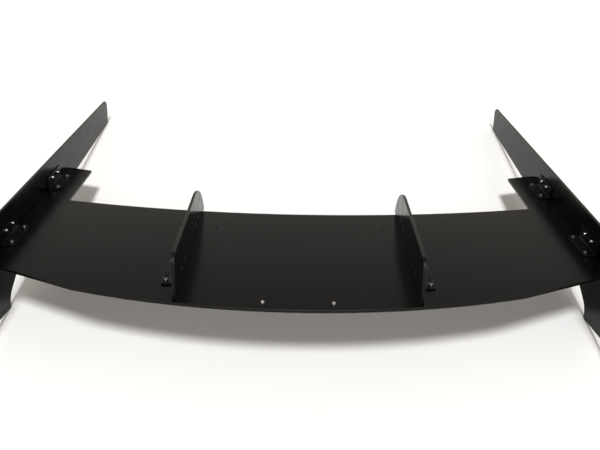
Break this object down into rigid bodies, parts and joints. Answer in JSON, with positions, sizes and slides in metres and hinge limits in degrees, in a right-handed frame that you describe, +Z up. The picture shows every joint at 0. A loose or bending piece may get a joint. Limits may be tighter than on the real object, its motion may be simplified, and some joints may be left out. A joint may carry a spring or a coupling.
{
  "type": "rear diffuser",
  "caption": "Flat-sheet rear diffuser for a track car: a curved panel between end plates with long forward arms, with upright fins, angle brackets and exposed fasteners.",
  "frame": {"origin": "midway between the two trailing edge screws, on the panel's mounting face, its underside here", "axes": "+X to the right, +Y towards the front of the car along the arms, +Z up, the side the fins stand on"},
  "size_m": [1.252, 1.2949, 0.2379],
  "materials": {
    "black_sheet": "satin black sheet with lightly broken edges",
    "black_bracket": "satin black powder coat",
    "black_steel": "black oxide steel, slightly glossy",
    "bright_steel": "bright zinc plated steel"
  },
  "bodies": {
    "root": {"left_end_plate": "black_sheet", "left_fin": "black_sheet", "left_front_fin_bracket": "black_bracket", "left_front_fin_bracket_cap_screws": "black_steel", "left_front_fin_bracket_flat_screws": "black_steel", "left_front_fin_bracket_nuts": "black_steel", "left_front_fin_bracket_washers": "black_steel", "left_front_plate_bracket": "black_bracket", "left_front_plate_bracket_cap_screws": "black_steel", "left_front_plate_bracket_nuts": "black_steel", "left_front_plate_bracket_washers": "black_steel", "left_rear_fin_bracket": "black_bracket", "left_rear_fin_bracket_cap_screws": "black_steel", "left_rear_fin_bracket_flat_screws": "black_steel", "left_rear_fin_bracket_nuts": "black_steel", "left_rear_fin_bracket_washers": "black_steel", "left_rear_plate_bracket": "black_bracket", "left_rear_plate_bracket_cap_screws": "black_steel", "left_rear_plate_bracket_nuts": "black_steel", "left_rear_plate_bracket_washers": "black_steel", "main_panel": "black_sheet", "right_end_plate": "black_sheet", "right_fin": "black_sheet", "right_front_fin_bracket": "black_bracket", "right_front_fin_bracket_cap_screws": "black_steel", "right_front_fin_bracket_flat_screws": "black_steel", "right_front_fin_bracket_nuts": "black_steel", "right_front_fin_bracket_washers": "black_steel", "right_front_plate_bracket": "black_bracket", "right_front_plate_bracket_cap_screws": "black_steel", "right_front_plate_bracket_nuts": "black_steel", "right_front_plate_bracket_washers": "black_steel", "right_rear_fin_bracket": "black_bracket", "right_rear_fin_bracket_cap_screws": "black_steel", "right_rear_fin_bracket_flat_screws": "black_steel", "right_rear_fin_bracket_nuts": "black_steel", "right_rear_fin_bracket_washers": "black_steel", "right_rear_plate_bracket": "black_bracket", "right_rear_plate_bracket_cap_screws": "black_steel", "right_rear_plate_bracket_nuts": "black_steel", "right_rear_plate_bracket_washers": "black_steel", "trailing_edge_nuts": "bright_steel", "trailing_edge_screws": "bright_steel", "trailing_edge_washers": "bright_steel"}
  },
  "joints": []
}
